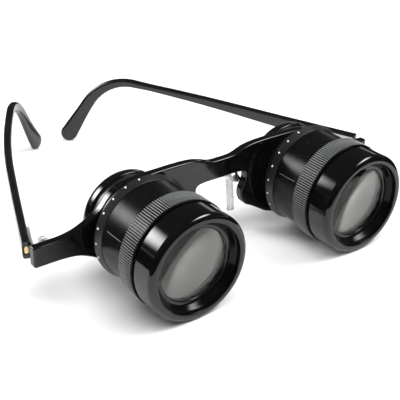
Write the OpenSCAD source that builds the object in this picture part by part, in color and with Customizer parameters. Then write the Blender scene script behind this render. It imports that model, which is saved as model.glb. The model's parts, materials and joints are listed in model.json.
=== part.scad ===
// Binocular glasses: two short focusing telescopes side by side in a thin plate frame with temples.
// Lengths are millimetres and angles are degrees.
// The part stands as on a table, on the front rims of its bells and on the tips of its temples.
// x runs to the right, y to the back and z up. A side is -1 for the left and 1 for the right.
// A telescope is drawn along its own axis. Its stations start at the front face of the frame and
// grow towards the objective, so a station behind that face is negative.

/* [Telescope] */
// Distance between the axes of the two telescopes
eye_spacing = 65; // [63:0.5:68]
// Bore radius of the fixed tube
tube_bore_r = 11.3; // [11.1:0.1:11.5]
// Wall of the fixed tube
tube_wall = 1.5; // [1.4:0.1:1.7]
// Reach of the fixed tube in front of the frame's front face
tube_front = 22; // [20:0.5:23]
// Reach of the fixed tube behind the frame's front face
tube_back = 7.4; // [7.3:0.1:7.9]
// Wall of the draw tube
draw_wall = 1.7; // [1.5:0.1:1.9]

/* [Index ring] */
// Length of the index ring
index_len = 6.1; // [5.5:0.1:7]
// Length of its neck, behind the flange
index_neck = 3.6; // [3:0.1:3.7]
// Length of the flange's cylindrical land, behind the cone
index_land = 0.35; // [0.3:0.05:0.5]
// Radius of the neck
index_neck_r = 14; // [13.6:0.1:14.2]
// Rise of the land above the smooth barrel
index_rise = 0.9; // [0.6:0.1:1.2]
// Number of dots on the cone
dot_count = 7; // [3:1:9]
// Angle between two dots
dot_pitch = 16.6; // [14:0.2:18]
// Radius of a dot
dot_r = 0.34; // [0.2:0.02:0.4]
// Depth of the dimple that holds a dot's paint
dot_depth = 0.12; // [0.06:0.02:0.2]

/* [Focus ring] */
// Length of the smooth barrel
smooth_len = 10.6; // [9:0.1:11]
// Length of the knurled band with its plain rim
knurl_len = 6.35; // [5.5:0.05:7]
// Wall of the smooth barrel
barrel_wall = 1.4; // [1.3:0.1:1.8]
// Rise of the knurled band above the smooth barrel
knurl_rise = 1.2; // [0.9:0.1:1.2]
// Number of ridges round the band
ridges = 138; // [90:2:150]
// Depth of the valleys between the ridges
ridge_depth = 0.26; // [0.15:0.01:0.4]
// Length of the plain rim in front of the ridges
rim_len = 0.5; // [0.3:0.05:0.8]
// Thickness of the flange that turns on the fixed tube
flange_t = 2.2; // [1.6:0.1:2.6]
// Thickness of the retaining ring in front of the flange
retainer_t = 1.2; // [0.9:0.1:1.4]
// Backward travel of the objective from rest
travel_back = 0.5; // [0.2:0.1:0.5]
// Forward travel of the objective from rest
travel_front = 4.5; // [3:0.1:4.8]

/* [Objective bell] */
// Gap between the focus ring and the bell at rest
bell_gap = 0.8; // [0.7:0.05:1.2]
// Length of the bell
bell_len = 8.1; // [7.8:0.1:9]
// Rise of the bell above the smooth barrel
bell_rise = 0.8; // [0.5:0.05:1]
// Radius of the rounded front lip
lip_r = 1.7; // [1.2:0.1:1.9]
// Radius of the accessory bore in the front of the bell
recess_r = 14.1; // [13.8:0.05:14.3]
// Length of that bore, in front of the cone that leads to the objective
recess_len = 1.6; // [1.2:0.1:2]
// Width of the chamfer round that bore
recess_chamfer = 0.2; // [0.1:0.05:0.4]
// Radius of the objective lens
objective_r = 12.1; // [11.9:0.1:12.2]
// Radius of curvature of the objective's front face
crown_curve = 70; // [60:1:90]
// Radius of curvature of the cemented faces
cement_curve = 90; // [75:1:120]
// Thickness of the retaining ring over the objective
objective_ring_t = 1; // [0.9:0.05:1.1]
// Clear radius of that ring
objective_clear_r = 11.3; // [10.8:0.1:11.4]

/* [Eyepiece] */
// Station of the eye lens's front face, behind the frame's front face
eye_lens_seat = 3.2; // [2.9:0.1:3.4]
// Edge thickness of the eye lens
eye_lens_t = 2.6; // [2.3:0.1:2.7]
// Radius of curvature of its two hollow faces
eye_curve = 60; // [55:1:90]
// Clear radius of the eye lens
eye_clear_r = 10.3; // [9.8:0.1:10.4]
// Thickness of the lock ring behind the frame
lock_t = 1.2; // [0.9:0.1:1.3]
// Wall of the lock ring
lock_wall = 0.9; // [0.7:0.1:1.1]
// Radius of the eyecup's rim
cup_r = 14.2; // [14:0.1:14.6]
// Length of the eyecup
cup_len = 5.3; // [5:0.1:6]

/* [Frame] */
// Thickness of the frame plate
plate_t = 2.8; // [2.6:0.1:2.9]
// Height of the dip in the middle of the bridge, above the telescope axes
bridge_dip = 12; // [11:0.1:13]
// Height of the bridge on either side of the dip
bridge_top = 14.5; // [14:0.1:15]
// Height of the underside of the bridge
bridge_bottom = 5.5; // [4.5:0.1:6.5]
// Half width of the nose gap
nose_half = 8.4; // [8:0.1:9]
// Radius of the upper rim round a telescope
upper_rim_r = 14.3; // [14.2:0.1:15]
// Radius of the lower rim round a telescope
lower_rim_r = 16; // [15.4:0.1:16.4]
// Reach of a wing beyond the telescope's axis
wing_reach = 34.2; // [32:0.1:36]
// Height of a wing's top edge
wing_top = 2.2; // [1.8:0.1:3]
// Height of a wing's bottom edge
wing_bottom = -4.5; // [-5:0.1:-4]

/* [Hinges] */
// Distance of a hinge pin inboard of the wing's end
pin_inset = 5.2; // [4.8:0.1:5.4]
// Distance of a hinge pin behind the frame plate
pin_behind = 1.8; // [1.8:0.05:2]
// Lean of both hinge pins to the right, which lets one temple fold over the other
hinge_lean = 4; // [3.5:0.25:4.5]
// Radius of the knuckles
knuckle_r = 1.5; // [1.4:0.05:1.55]
// Height of the three knuckles together
knuckle_h = 5; // [4.6:0.1:5.2]
// Radius of the hinge screw
hinge_screw_r = 0.7; // [0.5:0.05:0.8]
// Height of the leaves
leaf_h = 4.8; // [4.4:0.1:5]
// Thickness of the frame's leaf
front_leaf_t = 0.8; // [0.6:0.05:0.85]
// Length of the frame's leaf beyond the knuckles
front_leaf_len = 6.3; // [6:0.1:7]
// Thickness of the temple's leaf
temple_leaf_t = 0.7; // [0.5:0.05:0.8]
// Length of the temple's leaf
temple_leaf_len = 9.5; // [9:0.1:10.5]
// Radius of a rivet's shank
rivet_r = 0.5; // [0.35:0.05:0.6]
// Radius of a rivet's head
rivet_head_r = 0.9; // [0.75:0.05:1]
// Height of a rivet's head
rivet_head_h = 0.3; // [0.2:0.05:0.35]

/* [Temples] */
// Inward fold of the left temple as the part stands
left_fold = 20.5; // [20:0.5:21.5]
// Inward fold of the right temple as the part stands
right_fold = 20.5; // [20:0.5:21.5]
// Length of a temple from its front end to the ear bend
temple_len = 97; // [94:0.5:98]
// Turn of the ear bend
ear_turn = 61; // [59:0.5:64]
// Radius of the ear bend
ear_bend_r = 22.5; // [21:0.5:24]
// Length of the straight ear end
ear_len = 20; // [18:0.5:21]
// Downward slope of a temple at its front end
temple_drop = 0; // [-0.2:0.1:0.5]
// Radius of the upward arch along a temple
arch_r = 2300; // [2000:50:2600]
// Radius of the inward bow along the front half
front_bow_r = 2800; // [2400:50:3200]
// Radius of the inward bow along the rear half
rear_bow_r = 295; // [285:5:320]
// Radius of the inward bow along the ear end
ear_bow_r = 76; // [74:1:84]
// Height of a temple at its front end
temple_h = 6.1; // [5.8:0.1:6.4]
// Height of a temple before the ear bend, where it is lowest
waist_h = 2.7; // [2.4:0.1:3]
// Height of a temple in the ear bend
bend_h = 3.5; // [3:0.1:3.8]
// Height of the paddle at the ear end
paddle_h = 7.2; // [6.8:0.1:7.6]
// Thickness of a temple
temple_t = 2.6; // [2.5:0.1:2.8]
// Thickness of the paddle
paddle_t = 2.2; // [2:0.1:2.4]
// Length of the metal core
core_len = 40; // [30:1:42]
// Height of the metal core
core_h = 2.4; // [2.2:0.1:2.8]
// Thickness of the metal core
core_t = 1.3; // [1.2:0.05:1.4]

/* [Nose pads] */
// Distance of a pad's centre from the middle of the bridge
pad_x = 10; // [9.6:0.1:10.4]
// Station of a pad's centre behind the frame's front face
pad_y = 8; // [7.8:0.1:8.4]
// Height of a pad's centre, below the telescope axes
pad_z = -6.2; // [-6.6:0.1:-5.8]
// Length of a pad
pad_len = 13.2; // [12.6:0.1:13.6]
// Width of a pad
pad_w = 7; // [6.6:0.1:7.2]
// Thickness of a pad
pad_t = 2.6; // [2.4:0.1:2.8]
// Turn of the pads away from straight back
pad_turn = 33; // [31:1:35]
// Outward splay of the pads towards their lower ends
pad_splay = 5; // [4:0.5:6]
// Radius of the wire of a pad arm
arm_r = 0.5; // [0.45:0.05:0.55]
// Radius of the screw that holds a pad
pad_screw_r = 0.35; // [0.3:0.05:0.4]

/* [Fits] */
// Radial clearance of parts that turn or slide
run_gap = 0.05; // [0.03:0.01:0.08]
// Radial clearance of parts that are seated
seat_gap = 0.02; // [0.01:0.01:0.03]
// Clearance between end faces of moving parts
face_gap = 0.15; // [0.1:0.05:0.2]

/* [Hidden] */
$fn = 128;
LEFT = -1;
RIGHT = 1;

lacquer = "#101013";
satin = "#26262a";
acetate = "#141416";
steel = "#b9bcc0";
gold = "#c9a24a";
glass = [0.75, 0.80, 0.84, 0.6];
pad_clear = [0.90, 0.92, 0.92, 0.7];

// Overshoot of a cut beyond the solid that it cuts
over = 1;

// Radii of the nested tubes, from the inside out
tube_r = tube_bore_r + tube_wall;
draw_r = tube_r + run_gap + draw_wall;
cavity_r = draw_r + run_gap;
barrel_r = cavity_r + barrel_wall;
knurl_r = barrel_r + knurl_rise;
index_r = barrel_r + index_rise;
bell_r = barrel_r + bell_rise;
index_front_r = barrel_r + 0.1;

// Stations of the focus drive
focus_back = index_len + face_gap;
flange_front = focus_back + flange_t;
retainer_back = flange_front + face_gap;
retainer_front = retainer_back + retainer_t;
knurl_back = focus_back + smooth_len;
focus_front = knurl_back + knurl_len;
draw_back = retainer_front + 2 * face_gap + travel_back;
guide_pin_r = 0.9;
guide_pin_z = draw_back + 2 * guide_pin_r;

// Stations of the bell and the optics in it
bell_back = focus_front + bell_gap;
bell_front = bell_back + bell_len;
recess_back = bell_front - recess_len;
recess_ledge = 0.2;
draw_front = bell_back + 1.2;
web_front = draw_front + 0.4;
flint_back = web_front + seat_gap;
flint_edge = 1.78;
crown_edge = 0.8;
cement_edge = flint_back + flint_edge;
crown_front_edge = cement_edge + crown_edge;
ring_back = crown_front_edge + 0.05;
ring_front = ring_back + objective_ring_t;
ring_seat_r = objective_r + 0.4;
// The inner foot of the ring stands clear of the curved glass
ring_foot = ring_back + 0.4;

// Stations behind the frame's front face
lock_back = -plate_t - lock_t;
cup_front = lock_back - 0.1;
cup_back = cup_front - cup_len;
eye_lens_back = -eye_lens_seat - eye_lens_t;
eye_lens_r = tube_r - 1;

// Frame and hinge places
eye_x = eye_spacing / 2;
wing_x = eye_x + wing_reach;
wing_corner = 0.8;
pin_x = wing_x - pin_inset;
pin_y = plate_t + pin_behind;
pin_z = (wing_top + wing_bottom) / 2;
knuckle_each = (knuckle_h - 2 * face_gap) / 3;

// Temple places, with the hinge pin as the origin
temple_offset = knuckle_r + 1.24 + temple_leaf_t;
temple_front = plate_t + 2 * face_gap - pin_y;
temple_start = [temple_offset + temple_t / 2, temple_front, 0.5];
bend_len = ear_bend_r * ear_turn * PI / 180;
temple_total = temple_len + bend_len + ear_len;
// Distance of the waist before the ear bend, and reach of the swell behind the bend's start
waist_before = 8;
swell_after = 6;
// Distance before the end at which the paddle starts to widen
paddle_start = 15;

// Height above the pad's outer face of the lug's pivot, and the lug's sizes
lug_stand = 0.7;
lug_r = 0.7;
lug_w = 1.3;
cheek_t = 0.5;
// Height of a pad's pivot above the pad's centre
pivot_up = 5;

// Depth of the cap that a sphere of radius R has over a circle of radius r
function sag(R, r) = R - sqrt(R * R - r * r);

// Point on a circle round the right telescope's axis, in the plane of the frame
function rim_point(a, r) = [eye_x + r * cos(a), r * sin(a)];

// Smooth curve through points, with a number of steps from each point to the next
function blend4(a, b, c, d, t) =
    (2 * b + (c - a) * t + (2 * a - 5 * b + 4 * c - d) * t * t + (3 * b - a - 3 * c + d) * t * t * t) / 2;
function curve(p, steps) = [
    for (i = [0 : len(p) - 2], k = [0 : steps - 1])
        blend4(p[max(i - 1, 0)], p[i], p[i + 1], p[min(i + 2, len(p) - 1)], k / steps),
    p[len(p) - 1]
];
function flipped(p) = [for (i = [len(p) - 1 : -1 : 0]) [-p[i][0], p[i][1]]];
function without_last(p) = [for (i = [0 : len(p) - 2]) p[i]];
function both_halves(p) = concat(without_last(flipped(p)), p);

// Right half of the frame's upper edge, from the middle to the wing's top corner
upper_half = [
    [0, bridge_dip],
    [4.5, bridge_dip + 0.2],
    [9, bridge_top - 0.8],
    [14, bridge_top - 0.1],
    [eye_x - 10.5, bridge_top],
    rim_point(95, upper_rim_r),
    rim_point(70, upper_rim_r),
    rim_point(50, upper_rim_r),
    rim_point(33, upper_rim_r),
    [eye_x + 16.5, wing_top + 2.7],
    [eye_x + 21, wing_top + 0.8],
    [eye_x + 26.5, wing_top],
    [wing_x, wing_top],
];

// Right half of the frame's lower edge, from the middle of the bridge to the wing's bottom corner
lower_half = [
    [0, bridge_bottom],
    [5, bridge_bottom + 0.1],
    [nose_half + 0.9, bridge_bottom - 0.4],
    [nose_half + 1.7, bridge_bottom - 2.5],
    [nose_half + 1, 0.8],
    [nose_half, -1.6],
    [nose_half + 0.3, -4.6],
    [nose_half + 2.1, -7.2],
    [nose_half + 5.1, -8.9],
    [eye_x - 16, -10.7],
    [eye_x - 12.5, -12.9],
    rim_point(-115, lower_rim_r + 0.2),
    rim_point(-90, lower_rim_r),
    rim_point(-60, lower_rim_r - 0.2),
    rim_point(-35, lower_rim_r - 0.4),
    [eye_x + 17, wing_bottom - 1.9],
    [eye_x + 21, wing_bottom - 0.5],
    [eye_x + 26.5, wing_bottom],
    [wing_x - wing_corner, wing_bottom],
];

// Slope and inward heading of a temple at a distance s from its front end
function pitch_at(s) =
    -temple_drop
    + min(s, temple_len) / arch_r * 180 / PI
    - min(max(s - temple_len, 0), bend_len) / ear_bend_r * 180 / PI;
function heading_at(s) = 180 / PI * (
    min(s, temple_len / 2) / front_bow_r
    + min(max(s - temple_len / 2, 0), temple_len / 2) / rear_bow_r
    + max(s - temple_len, 0) / ear_bow_r);
function along_at(s) = [
    -sin(heading_at(s)) * cos(pitch_at(s)),
    cos(heading_at(s)) * cos(pitch_at(s)),
    sin(pitch_at(s))
];
function up_at(s) = [
    sin(heading_at(s)) * sin(pitch_at(s)),
    -cos(heading_at(s)) * sin(pitch_at(s)),
    cos(pitch_at(s))
];

// Half height and half thickness of a temple at a distance s from its front end
function half_height(s) = lookup(s, [
    [0, temple_h / 2],
    [temple_len - waist_before, waist_h / 2],
    [temple_len + swell_after, bend_h / 2],
    [temple_total - paddle_start, (bend_h + paddle_h) / 4],
    [temple_total - paddle_h / 2, paddle_h / 2],
    [temple_total, paddle_h / 2],
]);
function half_thickness(s) = lookup(s, [
    [0, temple_t / 2],
    [temple_len, temple_t / 2 + 0.1],
    [temple_total - paddle_start, temple_t / 2],
    [temple_total, paddle_t / 2],
]);

// Stations along a temple, close together in its round end, where the height falls as on a circle
long_steps = 52;
round_steps = 6;
round_start = temple_total - paddle_h / 2;
function temple_station(i) = i <= long_steps
    ? round_start * i / long_steps
    : round_start + paddle_h / 2 * sin(85 * (i - long_steps) / round_steps);
function end_share(i) = i <= long_steps ? 1 : cos(85 * (i - long_steps) / round_steps);
temple_rings = long_steps + round_steps + 1;

// Centre line of a temple, one point at each station
temple_line = [
    for (
        i = 0, p = temple_start;
        i < temple_rings;
        p = p + (temple_station(i + 1) - temple_station(i))
            * along_at((temple_station(i) + temple_station(i + 1)) / 2),
        i = i + 1
    ) p
];

// Rounded section of a temple, squarer at the front end than at the ear end
section_sides = 16;
function rounded(v, e) = sign(v) * pow(abs(v), e);
function section_point(k, e) = [
    rounded(cos(360 * (k + 0.5) / section_sides), e),
    rounded(sin(360 * (k + 0.5) / section_sides), e)
];
function temple_ring(i) =
    let (
        s = temple_station(i),
        e = 0.4 + 0.35 * s / temple_total,
        up = up_at(s) * half_height(s) * end_share(i),
        out = cross(along_at(s), up_at(s)) * half_thickness(s) * sqrt(end_share(i))
    )
    [
        for (k = [0 : section_sides - 1])
            temple_line[i] + out * section_point(k, e)[0] + up * section_point(k, e)[1]
    ];
temple_points = [for (i = [0 : temple_rings - 1]) each temple_ring(i)];

// Faces of a solid made of rings of points, closed at both ends
function tube_faces(rings, sides) = concat(
    [[for (k = [sides - 1 : -1 : 0]) k]],
    [
        for (i = [0 : rings - 2], k = [0 : sides - 1])
            each [
                [i * sides + k, i * sides + (k + 1) % sides, (i + 1) * sides + (k + 1) % sides],
                [i * sides + k, (i + 1) * sides + (k + 1) % sides, (i + 1) * sides + k]
            ]
    ],
    [[for (k = [0 : sides - 1]) (rings - 1) * sides + k]]
);

// Place of a temple's point in the frame before the part is stood up
function folded(p, side, fold) = [
    side * (pin_x + p[0] * cos(fold) - p[1] * sin(fold)),
    pin_y + p[0] * sin(fold) + p[1] * cos(fold),
    pin_z + p[2]
];
ear_points = [
    for (p = temple_points) folded(p, LEFT, left_fold),
    for (p = temple_points) folded(p, RIGHT, right_fold)
];

// Tilt at which the bells' lips and the lowest ear point touch one plane
lip_y = -(bell_front - lip_r);
lip_z = -(bell_r - lip_r);
function tilt_to(p) =
    let (back = p[1] - lip_y, up = p[2] - lip_z)
    back < temple_len ? 0 : -atan2(up, back) - asin(lip_r / norm([back, up]));
stand_tilt = max([for (p = ear_points) tilt_to(p)]);
function stood(p) = [
    p[0],
    p[1] * cos(stand_tilt) - p[2] * sin(stand_tilt),
    p[1] * sin(stand_tilt) + p[2] * cos(stand_tilt)
];
stand_lift = lip_r - stood([0, lip_y, lip_z])[2];
front_most = stood([0, lip_y, -lip_z])[1] - lip_r;
back_most = max([for (p = ear_points) stood(p)[1]]);
stand_shift = -(front_most + back_most) / 2;

// Stands the part up
module stand() {
    translate([0, stand_shift, stand_lift]) rotate([stand_tilt, 0, 0]) children();
}

// Draws along a telescope's axis, with y up
module telescope(side) {
    stand() translate([side * eye_x, 0, 0]) rotate([90, 0, 0]) children();
}

// Draws for the right side, mirrored for the left
module flip(side) {
    if (side == LEFT) mirror([1, 0, 0]) children();
    else children();
}

// Draws with the foot of the hinge pin's middle as the origin, upright and outboard along x
module hinge_place(side) {
    stand() flip(side) translate([pin_x, pin_y, pin_z]) children();
}

// Leans a hinge piece with its pin, to the right on both sides
module leaned(side) {
    rotate([0, side * hinge_lean, 0]) children();
}

function fold_of(side) = side == LEFT ? left_fold : right_fold;

// Draws with the pad's centre as the origin: x away from the nose, y across the pad, z along it
module pad_place(side) {
    stand() flip(side) translate([pad_x, pad_y, pad_z]) rotate([0, 0, -pad_turn])
        rotate([0, -pad_splay, 0]) children();
}

// Plain ring between two stations
module ring(r, bore, from, to) {
    difference() {
        translate([0, 0, from]) cylinder(r = r, h = to - from);
        translate([0, 0, from - over]) cylinder(r = bore, h = to - from + 2 * over);
    }
}

// Two slots across a ring's face, for a spanner
module spanner_slots(r, from, width, depth) {
    for (a = [0, 180])
        rotate([0, 0, a]) translate([r, -width / 2, from - over]) cube([4, width, depth + over]);
}

// Fixed tube: passes through the frame and carries everything of one telescope
module fixed_tube(side) {
    slot_half = guide_pin_r + run_gap;
    slot_from = guide_pin_z - travel_back - face_gap;
    slot_to = guide_pin_z + travel_front + face_gap;
    color(satin) telescope(side) difference() {
        ring(tube_r, tube_bore_r, -tube_back, tube_front);
        translate([0, 0, -tube_back - over])
            cylinder(r = eye_lens_r + seat_gap, h = tube_back - eye_lens_seat + over);
        for (z = [slot_from, slot_to])
            translate([0, -tube_bore_r + over, z]) rotate([90, 0, 0])
                cylinder(r = slot_half, h = tube_wall + 2 * over);
        translate([-slot_half, -tube_r - over, slot_from])
            cube([2 * slot_half, tube_wall + 2 * over, slot_to - slot_from]);
    }
}

// Lock ring: holds the fixed tube to the frame from behind
module lock_ring(side) {
    color(satin) telescope(side) difference() {
        ring(tube_r + seat_gap + lock_wall, tube_r + seat_gap, lock_back, -plate_t);
        spanner_slots(tube_r + lock_wall / 2, lock_back, 2, 0.6);
    }
}

// Index ring: a neck on the frame and a flange with a cone that carries a row of dots
module index_ring(side) {
    cone_back = index_neck + index_land;
    cone_lean = atan2(index_r - index_front_r, index_len - cone_back);
    dot_z = cone_back + 0.45;
    dot_at = index_r - (dot_z - cone_back) * tan(cone_lean);
    first_dot = side == LEFT ? 96.5 : 106.5;
    edge = 0.15;
    color(satin) telescope(side) difference() {
        rotate_extrude() polygon([
            [tube_r + seat_gap, 0],
            [index_neck_r, 0],
            [index_neck_r, index_neck],
            [index_r - edge, index_neck],
            [index_r, index_neck + edge],
            [index_r, cone_back],
            [index_front_r, index_len],
            [tube_r + seat_gap, index_len],
        ]);
        for (i = [0 : dot_count - 1])
            rotate([0, 0, first_dot + i * dot_pitch]) translate([dot_at, 0, dot_z])
                rotate([0, 90 - cone_lean, 0]) translate([0, 0, -dot_depth])
                    cylinder(r = dot_r, h = dot_depth + over, $fn = 24);
    }
}

// Eyecup: turned ring with a round rim, closed behind the tube by a narrow web
module eyecup(side) {
    rim = 1.4;
    waist = tube_r + seat_gap;
    color(acetate) telescope(side) rotate_extrude() polygon(concat(
        [
            [waist, cup_front],
            [waist + 0.7, cup_front],
            [waist + 0.7, cup_front - 0.5],
            [cup_r, cup_front - 0.9],
        ],
        [for (a = [0 : -15 : -75]) [cup_r - 2.6 * (1 - cos(a)), cup_back + 3 + 3 * sin(a)]],
        [for (a = [-90 : -15 : -165]) [cup_r - 2.6 - rim * (1 - sin(-a)), cup_back + rim * (1 - sin(-a))]],
        [
            [eye_clear_r - 0.2, -tube_back - 0.5],
            [eye_clear_r - 0.2, -tube_back - 0.1],
            [waist, -tube_back - 0.1],
        ]
    ));
}

// Eye lens: hollow on both faces
module eye_lens(side) {
    reach = sqrt(eye_curve * eye_curve - eye_clear_r * eye_clear_r);
    color(glass) telescope(side) difference() {
        translate([0, 0, eye_lens_back]) cylinder(r = eye_lens_r, h = eye_lens_t);
        translate([0, 0, -eye_lens_seat + reach]) sphere(r = eye_curve, $fn = 240);
        translate([0, 0, eye_lens_back - reach]) sphere(r = eye_curve, $fn = 240);
    }
}

// Ring that holds the eye lens
module eye_lens_ring(side) {
    eye_ring_t = 1.4;
    color(satin) telescope(side) difference() {
        ring(eye_lens_r, eye_clear_r, eye_lens_back - eye_ring_t, eye_lens_back);
        spanner_slots(eye_clear_r + 0.7, eye_lens_back - eye_ring_t, 1.2, 0.5);
    }
}

// Outline of the ridged band
module ridge_outline() {
    polygon([
        for (i = [0 : 2 * ridges - 1])
            let (a = 180 * i / ridges, r = i % 2 == 0 ? knurl_r : knurl_r - ridge_depth)
            [r * cos(a), r * sin(a)]
    ]);
}

// Focus ring: smooth barrel and ridged band in one piece, turning on the fixed tube by its flange
module focus_ring(side) {
    line_w = 0.35;
    line_depth = 0.12;
    line_len = 7.1;
    line_angle = 160;
    color(satin) telescope(side) difference() {
        union() {
            translate([0, 0, focus_back]) cylinder(r = barrel_r, h = focus_front - focus_back);
            translate([0, 0, knurl_back]) linear_extrude(height = knurl_len - rim_len) ridge_outline();
            translate([0, 0, focus_front - rim_len]) cylinder(r = knurl_r - 0.15, h = rim_len);
        }
        translate([0, 0, focus_back - over]) cylinder(r = tube_r + run_gap, h = flange_t + 2 * over);
        translate([0, 0, flange_front]) cylinder(r = cavity_r, h = focus_front);
        rotate([0, 0, line_angle]) translate([barrel_r - line_depth, -line_w / 2, focus_back + 1.6])
            cube([over, line_w, line_len]);
    }
}

// Ring on the fixed tube that keeps the focus ring from coming forward
module focus_retainer(side) {
    color(satin) telescope(side) difference() {
        ring(cavity_r - 0.45, tube_r + seat_gap, retainer_back, retainer_front);
        rotate([180, 0, 0]) spanner_slots(tube_r + 0.6, -retainer_front, 1.6, 0.5);
    }
}

// Draw tube: slides on the fixed tube inside the focus ring and carries the bell
module draw_tube(side) {
    color(satin) telescope(side) difference() {
        ring(draw_r, tube_r + run_gap, draw_back, draw_front);
        translate([0, -tube_r + over, guide_pin_z]) rotate([90, 0, 0])
            cylinder(r = guide_pin_r + seat_gap, h = draw_wall + 3 * over);
    }
}

// Guide pin: keeps the draw tube from turning
module guide_pin(side) {
    pin_top = tube_r - 0.9;
    color(steel) telescope(side) translate([0, -pin_top, guide_pin_z]) rotate([90, 0, 0])
        cylinder(r = guide_pin_r, h = draw_r - run_gap - pin_top);
}

// Objective bell: round lip, accessory bore, seats for the ring and the glasses
module objective_bell(side) {
    edge = 0.2;
    color(lacquer) telescope(side) rotate_extrude() polygon(concat(
        [
            [draw_r + seat_gap, bell_back],
            [bell_r - edge, bell_back],
            [bell_r, bell_back + edge],
        ],
        [for (a = [0 : 9 : 90]) [bell_r - lip_r * (1 - cos(a)), bell_front - lip_r * (1 - sin(a))]],
        [
            [recess_r + recess_chamfer, bell_front],
            [recess_r, bell_front - recess_chamfer],
            [recess_r, recess_back],
            [recess_r - recess_ledge, recess_back],
            [ring_seat_r, ring_front],
            [ring_seat_r, crown_front_edge],
            [objective_r + seat_gap, crown_front_edge],
            [objective_r + seat_gap, web_front],
            [objective_r - 0.9, web_front],
            [objective_r - 0.9, draw_front],
            [draw_r + seat_gap, draw_front],
        ]
    ));
}

// Sphere whose surface holds the cemented faces, larger by a clearance
module cement_sphere(clear) {
    translate([0, 0, cement_edge - sag(cement_curve, objective_r) + cement_curve])
        sphere(r = cement_curve + clear, $fn = 240);
}

// Front glass of the objective
module objective_crown(side) {
    color(glass) telescope(side) intersection() {
        translate([0, 0, web_front]) cylinder(r = objective_r, h = bell_front - web_front);
        translate([0, 0, crown_front_edge + sag(crown_curve, objective_r) - crown_curve])
            sphere(r = crown_curve, $fn = 240);
        cement_sphere(0);
    }
}

// Rear glass of the objective
module objective_flint(side) {
    color(glass) telescope(side) difference() {
        translate([0, 0, flint_back]) cylinder(r = objective_r, h = flint_edge);
        cement_sphere(seat_gap);
    }
}

// Ring that holds the objective in the bell
module objective_ring(side) {
    ring_r = ring_seat_r - seat_gap;
    color(lacquer) telescope(side) difference() {
        rotate_extrude() polygon([
            [objective_clear_r, ring_foot],
            [objective_r, ring_foot],
            [objective_r, ring_back],
            [ring_r, ring_back],
            [ring_r, ring_front],
            [objective_clear_r + 0.3, ring_front],
            [objective_clear_r, ring_front - 0.3],
        ]);
        rotate([180, 0, 0]) spanner_slots(objective_r - 0.3, -ring_front, 1.2, 0.35);
    }
}

// Frame front: bridge, two rims and two wings in one plate
module frame_front() {
    corner = [
        for (a = [0 : 15 : 75])
            [wing_x - wing_corner * (1 - cos(a)), wing_bottom + wing_corner * (1 - sin(a))]
    ];
    half = concat(
        [for (p = curve(both_halves(upper_half), 4)) if (p[0] >= 0) p],
        corner
    );
    lower = [for (p = curve(both_halves(lower_half), 4)) if (p[0] > 0) p];
    outline = concat(half, [for (i = [len(lower) - 1 : -1 : 0]) lower[i]]);
    color(acetate) stand() difference() {
        translate([0, plate_t, 0]) rotate([90, 0, 0]) linear_extrude(height = plate_t)
            polygon(concat(outline, [[0, bridge_bottom]], without_first(flipped(outline))));
        for (x = [-eye_x, eye_x])
            translate([x, plate_t + over, 0]) rotate([90, 0, 0])
                cylinder(r = tube_r + seat_gap, h = plate_t + 2 * over);
        for (x = [-arm_root[0], arm_root[0]])
            translate([x, plate_t + over, arm_root[2]]) rotate([90, 0, 0])
                cylinder(r = arm_r + seat_gap, h = arm_depth + over, $fn = 32);
        for (side = [-1, 1], x = front_rivets)
            translate([side * (pin_x + x), plate_t + over, pin_z]) rotate([90, 0, 0])
                cylinder(r = rivet_r + seat_gap, h = rivet_depth + over, $fn = 32);
    }
}
function without_first(p) = [for (i = [1 : len(p) - 1]) p[i]];

// Places of the rivets in the frame's leaf, outboard of the pin, and their depth in the plate
front_rivets = [-front_leaf_len - 0.4, -front_leaf_len / 2 - 0.9];
rivet_depth = 1.8;

// Frame's leaf: plate on the wing's back with the upper and the lower knuckle
module hinge_front_leaf(side) {
    leaf_gap = 0.2;
    color(steel) hinge_place(side) difference() {
        union() {
            translate([-knuckle_r - leaf_gap - front_leaf_len, -pin_behind, -leaf_h / 2])
                cube([front_leaf_len, front_leaf_t, leaf_h]);
            leaned(side) for (z = [-knuckle_h / 2, knuckle_h / 2 - knuckle_each]) translate([0, 0, z]) {
                cylinder(r = knuckle_r, h = knuckle_each, $fn = 64);
                translate([-2 * knuckle_r, -pin_behind, 0])
                    cube([2 * knuckle_r, pin_behind - 0.4, knuckle_each]);
            }
        }
        leaned(side) translate([0, 0, -knuckle_h])
            cylinder(r = hinge_screw_r + seat_gap, h = 2 * knuckle_h, $fn = 64);
        for (x = front_rivets)
            translate([x, 0, 0]) rotate([90, 0, 0])
                cylinder(r = rivet_r + seat_gap, h = pin_behind + over, $fn = 32);
    }
}

// Rivets that hold the frame's leaf
module front_leaf_rivets(side) {
    color(steel) hinge_place(side) for (x = front_rivets) translate([x, front_leaf_t - pin_behind, 0]) {
        rotate([90, 0, 0]) cylinder(r = rivet_r, h = front_leaf_t + rivet_depth, $fn = 32);
        rotate([-90, 0, 0]) cylinder(r = rivet_head_r, h = rivet_head_h, $fn = 32);
    }
}

// Places of the rivets along the temple's leaf, behind the pin
temple_rivets = [temple_leaf_len * 0.3, temple_leaf_len * 0.7];

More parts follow.
